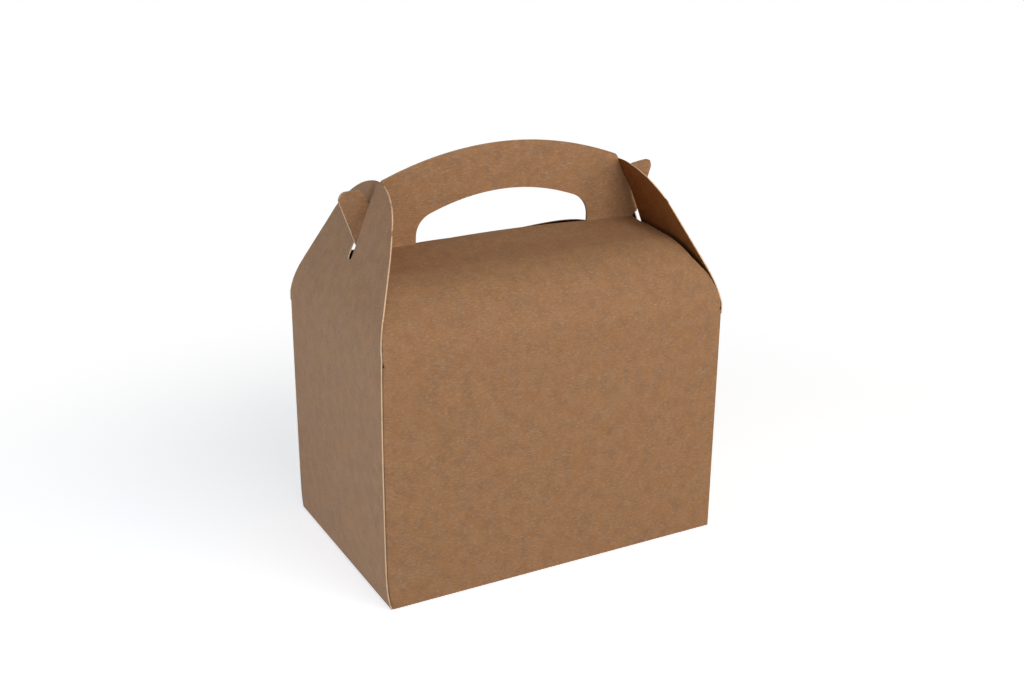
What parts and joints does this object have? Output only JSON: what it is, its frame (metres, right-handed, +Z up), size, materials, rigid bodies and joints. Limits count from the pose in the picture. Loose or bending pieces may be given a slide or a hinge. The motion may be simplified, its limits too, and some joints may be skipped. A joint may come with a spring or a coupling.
{
  "type": "kids meal box",
  "caption": "Folded kraft board meal box with a two-ply carry handle hooked through slots in its end arches.",
  "frame": {"origin": "middle of the base, on the surface that the box stands on", "axes": "+Z up through the handle, +X along the front panel to one end arch, -Y out of the front panel"},
  "size_m": [0.152, 0.102, 0.1687],
  "materials": {
    "kraft_board": "uncoated natural kraft board, matt"
  },
  "bodies": {
    "root": {"folded_carton": "kraft_board"}
  },
  "joints": []
}
